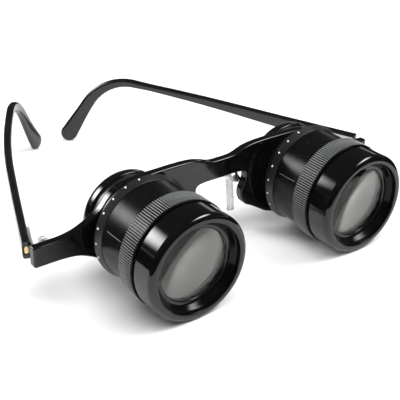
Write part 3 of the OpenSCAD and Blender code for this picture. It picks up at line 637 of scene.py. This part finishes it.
@dataclass
class Telescope:
    """One focusing telescope. Its stations start at the frame's front face and grow forwards."""

    side: Side
    pivot_station: float = 15.0
    # Gaps between pieces that sit in each other, and that run in each other
    seat_gap: float = 0.02
    run_gap: float = 0.05
    # Fixed tube and draw tube
    tube_r: float = 12.8
    tube_bore_r: float = 11.3
    tube_back: float = -7.4
    tube_front: float = 22.0
    draw_r: float = 14.55
    # Index ring: neck, flange and cone
    neck_r: float = 14.0
    neck_front: float = 3.6
    index_r: float = 16.9
    cone_back: float = 3.95
    cone_front: float = 6.1
    cone_front_r: float = 16.1
    # Dots on the cone
    dot_count: int = 7
    dot_pitch: float = 16.6
    dot_r: float = 0.32
    dot_height: float = 0.35
    dot_inset: float = 0.45
    left_dot: float = 96.5
    right_dot: float = 106.5
    # Focus ring: smooth barrel, ground of the ridges and plain rim
    barrel_r: float = 16.0
    focus_back: float = 6.25
    flange_front: float = 8.45
    knurl_back: float = 16.85
    ridges_front: float = 22.7
    focus_front: float = 23.2
    ground_drop: float = 0.1
    rim_drop: float = 0.12
    # Ridges round the focus ring
    ridges: int = 138
    knurl_r: float = 17.2
    ridge_depth: float = 0.26
    ridge_root: float = 0.25
    ridge_fill: float = 0.96
    ridge_lap: float = 0.05
    ridge_round: float = 0.05
    crest_share: float = 0.2
    # Depth below the ridge tops that takes the painted highlight of the crest finish
    crest_highlight_depth: float = 0.06
    # Line along the barrel
    line_angle: float = 160.0
    line_inset: float = 1.6
    line_len: float = 7.1
    line_w: float = 0.24
    line_t: float = 0.12
    line_sunk: float = 0.04
    line_round: float = 0.03
    # Bell: outside, recess, stepped cone and seat of the lens
    bell_r: float = 16.8
    bell_back: float = 24.0
    bell_front: float = 32.1
    lip_r: float = 1.7
    recess_r: float = 14.1
    recess_edge: float = 0.2
    recess_back: float = 30.5
    recess_ledge: float = 0.2
    cone_steps: int = 6
    step_wall: float = 0.35
    ring_front: float = 29.25
    ring_seat: float = 0.4
    web_front: float = 25.6
    web_back: float = 25.2
    web_reach: float = 0.9
    # Glasses
    objective_r: float = 12.1
    crown_edge: float = 28.2
    crown_curve: float = 70.0
    cement_edge: float = 27.4
    cement_curve: float = 90.0
    flint_back: float = 25.62
    eye_lens_r: float = 11.8
    eye_clear_r: float = 10.3
    eye_seat: float = -3.2
    eye_lens_t: float = 2.6
    eye_curve: float = 60.0
    # Linings
    skin: float = 0.05
    skin_gap: float = 0.01
    lining_back: float = 7.0
    draw_lining_gap: float = 0.7
    # Eyecup
    cup_r: float = 14.2
    cup_front: float = -4.1
    cup_back: float = -9.4
    cup_neck: float = 0.7
    cup_neck_len: float = 0.5
    cup_shoulder: float = 0.9
    swell_w: float = 2.6
    swell_len: float = 3.0
    cup_lip_r: float = 1.4
    cup_cover: float = 0.2
    cup_floor_gap: float = 0.1
    cup_floor_t: float = 0.4
    arc_step: float = 5.0
    arc_points: int = 16
    # Rounded edges of the slotted rings
    front_ring_edge: float = 0.06
    back_ring_edge: float = 0.08

    @property
    def name(self) -> str:
        """Word that starts the names of this telescope's pieces."""
        return self.side.word

    @property
    def drive(self) -> str:
        """Body that turns with the focus ring."""
        return f"{self.name}_focus_drive"

    @property
    def group(self) -> str:
        """Body that slides with the bell."""
        return f"{self.name}_objective_group"

    @property
    def place(self) -> Matrix:
        """Transform from this telescope's own millimetres into the frame."""
        turn = packed_joint(f"{self.name}_focus_turn")
        forward = Vector(turn["axis"]).normalized()
        right = Vector((1, 0, 0))
        up = forward.cross(right)
        origin = Vector(turn["pos_m"]) - forward * self.pivot_station * MM
        axes = Matrix((right, up, forward)).transposed().to_4x4()
        return Matrix.Translation(origin) @ axes @ Matrix.Scale(MM, 4)

    def build(self) -> None:
        """Builds and dresses every piece of the telescope."""
        self.index_ring()
        self.index_dots()
        self.focus_ring()
        self.ridged_band()
        self.index_line()
        self.bell()
        self.objective()
        self.eye_lens()
        self.linings()
        self.eyecup()
        self.slotted_rings()
        self.hidden_pieces()

    def index_ring(self) -> None:
        """Neck in front of the plate, and a flange with a cone."""
        bore = self.tube_r + self.seat_gap
        corners = [
            (bore, 0, 0),
            (self.neck_r, 0, 0.05),
            (self.neck_r, self.neck_front, 0.1),
            (self.index_r, self.neck_front, 0.12),
            (self.index_r, self.cone_back, 0.1),
            (self.cone_front_r, self.cone_front, 0.12),
            (bore, self.cone_front, 0),
        ]
        piece = turned(f"{self.name}_index_ring_turned", corners, self.place)
        dress(piece, Finishes.SATIN, "root", f"{self.name}_index_ring")

    def index_dots(self) -> None:
        """Drops of white paint in the dimples on the cone."""
        lean = math.atan2(self.index_r - self.cone_front_r, self.cone_front - self.cone_back)
        station = self.cone_back + self.dot_inset
        radius = self.index_r - self.dot_inset * math.tan(lean)
        first = self.left_dot if self.side is Side.LEFT else self.right_dot
        bm = bmesh.new()
        for i in range(self.dot_count):
            angle = math.radians(first + i * self.dot_pitch)
            turn = (
                Matrix.Rotation(angle, 4, "Z")
                @ Matrix.Translation((radius, 0, station))
                @ Matrix.Rotation(math.pi / 2 - lean, 4, "Y")
                @ Matrix.Diagonal((1, 1, self.dot_height, 1))
            )
            bmesh.ops.create_uvsphere(bm, u_segments=16, v_segments=8, radius=self.dot_r, matrix=turn)
        piece = settle(bm, f"{self.name}_index_dots", self.place)
        dress(piece, Finishes.PAINT, "root")

    def focus_ring(self) -> None:
        """Smooth barrel, the ground of the ridged band and its plain rim in one piece."""
        bore = self.tube_r + self.run_gap
        cavity = self.draw_r + self.run_gap
        ground = self.knurl_r - self.ridge_depth - self.ground_drop
        rim = self.knurl_r - self.rim_drop
        corners = [
            (bore, self.focus_back, 0.1),
            (self.barrel_r, self.focus_back, 0.15),
            (self.barrel_r, self.knurl_back, 0),
            (ground, self.knurl_back, 0.1),
            (ground, self.ridges_front, 0),
            (rim, self.ridges_front, 0.08),
            (rim, self.focus_front, 0.18),
            (cavity, self.focus_front, 0.1),
            (cavity, self.flange_front, 0),
            (bore, self.flange_front, 0.1),
        ]
        piece = turned(f"{self.name}_focus_ring_turned", corners, self.place)
        dress(piece, Finishes.BARREL, self.drive, f"{self.name}_focus_ring")

    def ridged_band(self) -> None:
        """Straight ridges round the front of the focus ring, all copies of one, with a painted highlight
        in lighter grey on their crests.
        """
        pitch = math.tau / self.ridges
        width = pitch * self.knurl_r
        root = self.knurl_r - self.ridge_depth - self.ridge_root
        height = self.knurl_r - root
        length = self.ridges_front - self.knurl_back + self.ridge_lap
        bm = bmesh.new()
        ridge = bmesh.ops.create_cube(bm, size=1.0)["verts"]
        bmesh.ops.scale(bm, verts=ridge, vec=(height, width * self.ridge_fill, length))
        bmesh.ops.translate(bm, verts=ridge, vec=(root + height / 2, 0, self.knurl_back + length / 2))
        crest = [v for v in ridge if v.co.x > root + height / 2]
        bmesh.ops.scale(bm, verts=crest, vec=(1, self.crest_share, 1))
        edges = [e for e in bm.edges if all(v in crest for v in e.verts)]
        bmesh.ops.bevel(bm, geom=edges, offset=self.ridge_round, offset_type="OFFSET", segments=2,
                        profile=0.5, affect="EDGES", material=-1)
        # Faces near the top of each ridge take the crest finish, whose lighter grey is a painted
        # highlight
        wear_and_highlight = self.knurl_r - self.crest_highlight_depth
        for face in bm.faces:
            face.material_index = int(face.calc_center_median().x > wear_and_highlight)
        bmesh.ops.spin(bm, geom=bm.verts[:] + bm.edges[:] + bm.faces[:], cent=(0, 0, 0), axis=(0, 0, 1),
                       angle=pitch * (self.ridges - 1), steps=self.ridges - 1, use_merge=False,
                       use_normal_flip=False, use_duplicate=True)
        piece = settle(bm, f"{self.name}_focus_ridges", self.place)
        dress(piece, Finishes.KNURL, self.drive)
        piece.data.materials.append(FINISHES.of(Finishes.CREST_HIGHLIGHT))

    def index_line(self) -> None:
        """Paint in the engraved line along the smooth barrel."""
        middle = self.focus_back + self.line_inset + self.line_len / 2
        turn = Matrix.Rotation(math.radians(self.line_angle), 3, "Z")
        bm = bmesh.new()
        strip = bmesh.ops.create_cube(bm, size=1.0)["verts"]
        bmesh.ops.scale(bm, verts=strip, vec=(self.line_t, self.line_w, self.line_len))
        bmesh.ops.translate(bm, verts=strip, vec=(self.barrel_r - self.line_sunk, 0, middle))
        bmesh.ops.bevel(bm, geom=bm.edges[:], offset=self.line_round, offset_type="OFFSET", segments=2,
                        profile=0.5, affect="EDGES", material=-1)
        bmesh.ops.rotate(bm, verts=bm.verts, cent=(0, 0, 0), matrix=turn)
        piece = settle(bm, f"{self.name}_index_line", self.place)
        dress(piece, Finishes.LINE_PAINT, self.drive)

    def recess_cone(self, top: float, foot: float) -> list[Corner]:
        """Steps of the cone between the bell's recess and the lens's ring.

        Args:
            top: Radius at the recess.
            foot: Radius at the ring.

        Returns:
            The corners, with no rounding.
        """
        depth = self.ring_front - self.recess_back
        corners = []
        for i in range(self.cone_steps):
            share = i / self.cone_steps
            radius = top + (foot - top) * share
            if i > 0:
                corners.append((radius, self.recess_back + depth * share, 0))
            wall = share + self.step_wall / self.cone_steps
            corners.append((radius, self.recess_back + depth * wall, 0))
        return corners

    def bell(self) -> None:
        """Objective bell with its round lip, accessory bore, stepped cone and seat for the lens."""
        outside = self.draw_r + self.seat_gap
        inside = self.objective_r + self.seat_gap
        ledge = self.recess_r - self.recess_ledge
        seat = self.objective_r + self.ring_seat
        web = self.objective_r - self.web_reach
        corners = [
            (outside, self.bell_back, 0.05),
            (self.bell_r, self.bell_back, 0.22),
            (self.bell_r, self.bell_front, self.lip_r),
            (self.recess_r + self.recess_edge, self.bell_front, 0.06),
            (self.recess_r, self.bell_front - self.recess_edge, 0.05),
            (self.recess_r, self.recess_back, 0),
            (ledge, self.recess_back, 0.09),
            *self.recess_cone(ledge, seat),
            (seat, self.ring_front, 0.04),
            (seat, self.crown_edge, 0),
            (inside, self.crown_edge, 0),
            (inside, self.web_front, 0),
            (web, self.web_front, 0.05),
            (web, self.web_back, 0.05),
            (outside, self.web_back, 0),
        ]
        piece = turned(f"{self.name}_bell_turned", corners, self.place, BELL_STEPS)
        dress(piece, Finishes.LACQUER, self.group, f"{self.name}_objective_bell")
        piece.data.materials.append(FINISHES.of(Finishes.RECESS))
        local = self.place.inverted()
        for face in piece.data.polygons:
            middle = local @ face.center
            in_recess = middle.xy.length < self.recess_r + self.seat_gap and middle.z > self.web_front
            face.material_index = int(in_recess)

    def objective(self) -> None:
        """Front glass of the objective and the rear glass that is cemented to it."""
        front = arc(self.crown_curve, self.objective_r, self.crown_edge, False)
        cemented = arc(self.cement_curve, self.objective_r, self.cement_edge, True)
        piece = turned(f"{self.name}_crown_turned", front + cemented[::-1], self.place, LENS_STEPS)
        dress(piece, Finishes.GLASS, self.group, f"{self.name}_objective_crown")
        hollow = [(r, z - self.seat_gap, 0) for r, z, _ in cemented]
        back = [(self.objective_r, self.flint_back, 0), (0, self.flint_back, 0)]
        piece = turned(f"{self.name}_flint_turned", hollow + back, self.place, LENS_STEPS)
        dress(piece, Finishes.GLASS, self.group, f"{self.name}_objective_flint")

    def eye_lens(self) -> None:
        """Eye lens, hollow on both sides, with a flat rim."""
        face = arc(self.eye_curve, self.eye_clear_r, self.eye_seat, True)
        rear = [(r, 2 * self.eye_seat - self.eye_lens_t - z, 0) for r, z, _ in face]
        rims = [(self.eye_lens_r, z, 0.1) for z in (self.eye_seat, self.eye_seat - self.eye_lens_t)]
        piece = turned(f"{self.name}_eye_lens_turned", face + rims + rear[::-1], self.place, LENS_STEPS)
        dress(piece, Finishes.EYE_GLASS, "root", f"{self.name}_eye_lens")

    def linings(self) -> None:
        """Grey linings inside the fixed tube and inside the draw tube in front of it."""
        bore = self.tube_bore_r - self.skin_gap
        front = self.tube_front + self.skin_gap
        corners = [
            (bore - self.skin, self.lining_back, 0),
            (bore, self.lining_back, 0),
            (bore, front, 0),
            (self.tube_r - self.skin, front, 0),
            (self.tube_r - self.skin, front + self.skin, 0),
            (bore - self.skin, front + self.skin, 0),
        ]
        piece = turned(f"{self.name}_tube_lining", corners, self.place, SKIN_STEPS)
        dress(piece, Finishes.LINING, "root")
        bore = self.tube_r + self.run_gap - self.skin_gap
        back = self.tube_front + self.draw_lining_gap
        front = self.web_back - self.seat_gap
        corners = [
            (bore - self.skin, back, 0),
            (bore, back, 0),
            (bore, front, 0),
            (bore - self.skin, front, 0),
        ]
        piece = turned(f"{self.name}_draw_lining", corners, self.place, SKIN_STEPS)
        dress(piece, Finishes.LINING, self.group)

    def eyecup(self) -> None:
        """Eyecup with a round rim, behind the frame."""
        waist = self.tube_r + self.seat_gap
        inside = self.eye_clear_r - self.cup_cover
        floor = self.tube_back - self.cup_floor_gap
        lip = self.cup_r - self.swell_w
        corners = [
            (waist, self.cup_front, 0),
            (waist + self.cup_neck, self.cup_front, 0.08),
            (waist + self.cup_neck, self.cup_front - self.cup_neck_len, 0.05),
            (self.cup_r, self.cup_front - self.cup_shoulder, 0.2),
        ]
        for i in range(self.arc_points):
            a = math.radians(self.arc_step * i)
            out, along = self.swell_w * (1 - math.cos(a)), self.swell_len * (1 - math.sin(a))
            corners.append((self.cup_r - out, self.cup_back + along, 0))
        for i in range(self.arc_points):
            drop = self.cup_lip_r * (1 - math.cos(math.radians(self.arc_step * i)))
            corners.append((lip - drop, self.cup_back + drop, 0))
        corners += [
            (inside, floor - self.cup_floor_t, 0.05),
            (inside, floor, 0.05),
            (waist, floor, 0),
        ]
        piece = turned(f"{self.name}_eyecup_turned", corners, self.place)
        dress(piece, Finishes.EYECUP, "root", f"{self.name}_eyecup")

    def slotted_rings(self) -> None:
        """Rings with spanner slots, as copies that keep the CAD's slots."""
        dress_copy(f"{self.name}_objective_ring", Finishes.LACQUER, self.front_ring_edge)
        dress_copy(f"{self.name}_lock_ring", Finishes.SATIN, self.back_ring_edge)
        dress_copy(f"{self.name}_eye_lens_ring", Finishes.SATIN, self.back_ring_edge)

    def hidden_pieces(self) -> None:
        """Pieces inside the telescope, which keep their own meshes."""
        for part in ("fixed_tube", "draw_tube", "focus_retainer"):
            coat_node(f"{self.name}_{part}", Finishes.INSIDE)
        coat_node(f"{self.name}_guide_pin", Finishes.STEEL)


@dataclass
class Spectacle:
    """Plate, hinges, temples and nose pads that carry the telescopes, with the width of their edges."""

    plate_edge: float = 0.5
    temple_edge: float = 0.35
    pad_edge: float = 0.2
    leaf_edge: float = 0.1
    screw_edge: float = 0.06
    fine_edge: float = 0.05

    def build(self) -> None:
        """Builds and dresses the plate and both sides' pieces."""
        dress_copy("frame_front", Finishes.PLATE, self.plate_edge, 5)
        for side in Side:
            self.hinge(side.word)
            self.temple(side.word)
            self.nose_pad(side.word)

    def hinge(self, side: str) -> None:
        """Leaves, screw and rivets of one hinge.

        Args:
            side: Word for the side.
        """
        for part in ("hinge_front_leaf", "hinge_temple_leaf"):
            dress_copy(f"{side}_{part}", Finishes.STEEL, self.leaf_edge)
        for part in ("hinge_screw", "front_leaf_rivets", "temple_leaf_rivets"):
            dress_copy(f"{side}_{part}", Finishes.STEEL, self.screw_edge)

    def temple(self, side: str) -> None:
        """Temple and its metal core.

        Args:
            side: Word for the side.
        """
        dress_copy(f"{side}_temple", Finishes.TEMPLE, self.temple_edge, 3, 0)
        dress_copy(f"{side}_temple_core", Finishes.CORE, self.fine_edge, 1)

    def nose_pad(self, side: str) -> None:
        """Pad, its screw and its wire arm.

        Args:
            side: Word for the side.
        """
        dress_copy(f"{side}_nose_pad", Finishes.PAD, self.pad_edge, 3)
        dress_copy(f"{side}_nose_pad_arm", Finishes.WIRE, self.fine_edge, 1, 0)
        dress_copy(f"{side}_nose_pad_screw", Finishes.STEEL, self.fine_edge)


@dataclass(frozen=True)
class Softbox:
    """One soft lamp, placed by the direction in which it stands from the object. Sizes are metres."""

    name: str
    azimuth: float
    elevation: float
    distance: float
    width: float
    height: float
    watts: float
    mirrored: bool = True
    bright_share: float = 0.05

    def build(self, aim: Vector) -> None:
        """Makes the lamp.

        Args:
            aim: Point that it faces, in metres.
        """
        lamp = bpy.data.lights.new(self.name, "AREA")
        lamp.shape = "RECTANGLE"
        lamp.size = self.width
        lamp.size_y = self.height
        lamp.energy = self.watts
        if self.mirrored:
            self.soften(lamp)
        holder = bpy.data.objects.new(self.name, lamp)
        bpy.context.scene.collection.objects.link(holder)
        a, e = math.radians(self.azimuth), math.radians(self.elevation)
        away = Vector((math.sin(a) * math.cos(e), -math.cos(a) * math.cos(e), math.sin(e)))
        holder.location = aim + away * self.distance
        holder.rotation_euler = away.to_track_quat("Z", "Y").to_euler()
        holder.visible_glossy = self.mirrored

    def soften(self, lamp: bpy.types.Light) -> None:
        """Lets the lamp's light fade towards its edges.

        Args:
            lamp: The lamp.
        """
        lamp.use_nodes = True
        tree = lamp.node_tree
        place = tree.nodes.new("ShaderNodeNewGeometry")
        from_middle = tree.nodes.new("ShaderNodeVectorMath")
        from_middle.operation = "DISTANCE"
        from_middle.inputs[1].default_value = (0.5, 0.5, 0.0)
        fade = map_range(tree, self.bright_share, 0.5, 1.0, 0.0, True)
        tree.links.new(place.outputs["Parametric"], from_middle.inputs[0])
        tree.links.new(from_middle.outputs["Value"], fade.inputs["Value"])
        tree.links.new(fade.outputs["Result"], tree.nodes["Emission"].inputs["Strength"])


@dataclass
class Studio:
    """Floor, black card, world and soft lamps, in metres, and the camera, in millimetres and pixels."""

    # Floor and the card round the object
    floor_reach: float = 12.0
    floor_colour: Colour = (0.93, 0.93, 0.93)
    floor_shade: float = 0.985
    floor_grain: float = 30.0
    card_reach: float = 0.15
    card_foot: float = 0.0005
    card_top: float = 0.05
    # World: strength below and above a band of heights
    band_low: float = 0.14
    band_high: float = 0.26
    light_below: float = 0.95
    light_above: float = 0.05
    # Lamps
    key: Softbox = Softbox("key", -142, 30, 0.9, 0.52, 0.52, 19.0)
    rim: Softbox = Softbox("rim", 53, 50, 0.9, 0.9, 0.42, 26.0)
    fill: Softbox = Softbox("fill", -30, 70, 1.4, 1.4, 1.4, 20.0, False)
    # Camera, in the telescopes' own directions
    turn: float = -38.05812
    rise: float = 28.53023
    roll: float = 1.93768
    distance: float = 275.241
    slide_right: float = -6.8373
    slide_up: float = -2.2322
    focal_px: float = 858.16
    image_px: float = 400.0
    sensor: float = 36.0

    def build(self) -> None:
        """Makes everything round the object."""
        self.floor()
        self.black_card()
        self.world()
        low, high = CAD_BOX
        for lamp in (self.key, self.rim, self.fill):
            lamp.build((low + high) / 2)
        self.camera()

    def floor(self) -> None:
        """Pale floor under the object."""
        bm = bmesh.new()
        bmesh.ops.create_grid(bm, x_segments=4, y_segments=4, size=self.floor_reach)
        piece = settle(bm, "floor")
        shader = Shader("pale_floor")
        shader.surface.inputs["Roughness"].default_value = 0.9
        shader.surface.inputs["Specular IOR Level"].default_value = 0.0
        paper = shader.noise(shader.stretched(), self.floor_grain)
        darker = tuple(c * self.floor_shade for c in self.floor_colour)
        shade = shader.tint(paper, "Fac", self.floor_colour, darker)
        shader.link(shade, 2, shader.surface, "Base Color")
        piece.data.materials.append(shader.material)

    def black_card(self) -> None:
        """Low black card all round, which only mirrored light meets, so that gloss shows a dark room."""
        bm = bmesh.new()
        foot = bm.verts.new((self.card_reach, 0, self.card_foot))
        top = bm.verts.new((self.card_reach, 0, self.card_top))
        bm.edges.new((foot, top))
        bmesh.ops.spin(bm, geom=bm.verts[:] + bm.edges[:], cent=(0, 0, 0), axis=(0, 0, 1), angle=math.tau,
                       steps=64, use_merge=True, use_duplicate=False)
        piece = settle(bm, "black_card")
        shader = Shader("black_card")
        shader.surface.inputs["Base Color"].default_value = (0.0, 0.0, 0.0, 1)
        shader.surface.inputs["Specular IOR Level"].default_value = 0.0
        piece.data.materials.append(shader.material)
        piece.visible_camera = False
        piece.visible_diffuse = False
        piece.visible_transmission = False
        piece.visible_shadow = False

    def world(self) -> None:
        """Studio surroundings: white to the camera, and to the object pale below and dim above."""
        world = bpy.data.worlds.new("studio")
        world.use_nodes = True
        bpy.context.scene.world = world
        tree = world.node_tree
        tree.nodes.clear()
        output = tree.nodes.new("ShaderNodeOutputWorld")
        background = tree.nodes.new("ShaderNodeBackground")
        background.inputs["Color"].default_value = (1, 1, 1, 1)
        place = tree.nodes.new("ShaderNodeTexCoord")
        height = tree.nodes.new("ShaderNodeSeparateXYZ")
        glow = map_range(tree, self.band_low, self.band_high, self.light_below, self.light_above, True)
        path = tree.nodes.new("ShaderNodeLightPath")
        seen = tree.nodes.new("ShaderNodeMath")
        seen.operation = "MAXIMUM"
        tree.links.new(place.outputs["Generated"], height.inputs[0])
        tree.links.new(height.outputs["Z"], glow.inputs["Value"])
        tree.links.new(glow.outputs["Result"], seen.inputs[0])
        tree.links.new(path.outputs["Is Camera Ray"], seen.inputs[1])
        tree.links.new(seen.outputs["Value"], background.inputs["Strength"])
        tree.links.new(background.outputs[0], output.inputs["Surface"])

    def camera(self) -> None:
        """Camera at the photograph's angle, placed in the telescopes' own directions."""
        left, right = Telescope(Side.LEFT).place, Telescope(Side.RIGHT).place
        middle = (left.translation + right.translation) / 2
        axes = left.to_3x3().normalized()
        across, up, forward = axes.col[0], axes.col[1], axes.col[2]
        a, e, r = (math.radians(v) for v in (self.turn, self.rise, self.roll))
        back = across * math.sin(a) * math.cos(e) + forward * math.cos(a) * math.cos(e) + up * math.sin(e)
        level = across * math.cos(a) - forward * math.sin(a)
        tall = back.cross(level)
        view_x = level * math.cos(r) + tall * math.sin(r)
        view_y = tall * math.cos(r) - level * math.sin(r)
        spot = middle + (view_x * self.slide_right + view_y * self.slide_up + back * self.distance) * MM
        facing = Matrix((view_x, view_y, back)).transposed().to_4x4()
        data = bpy.data.cameras.new("camera")
        data.sensor_width = self.sensor
        data.lens = self.focal_px * self.sensor / self.image_px
        data.clip_start = 0.01
        holder = bpy.data.objects.new("camera", data)
        bpy.context.scene.collection.objects.link(holder)
        holder.matrix_world = Matrix.Translation(spot) @ facing
        bpy.context.scene.camera = holder


def main() -> None:
    """Builds the object's sub-assemblies and the studio."""
    for side in Side:
        Telescope(side).build()
    Spectacle().build()
    Studio().build()
    bpy.context.scene.view_settings.view_transform = "Standard"


if __name__ == "__main__":
    main()
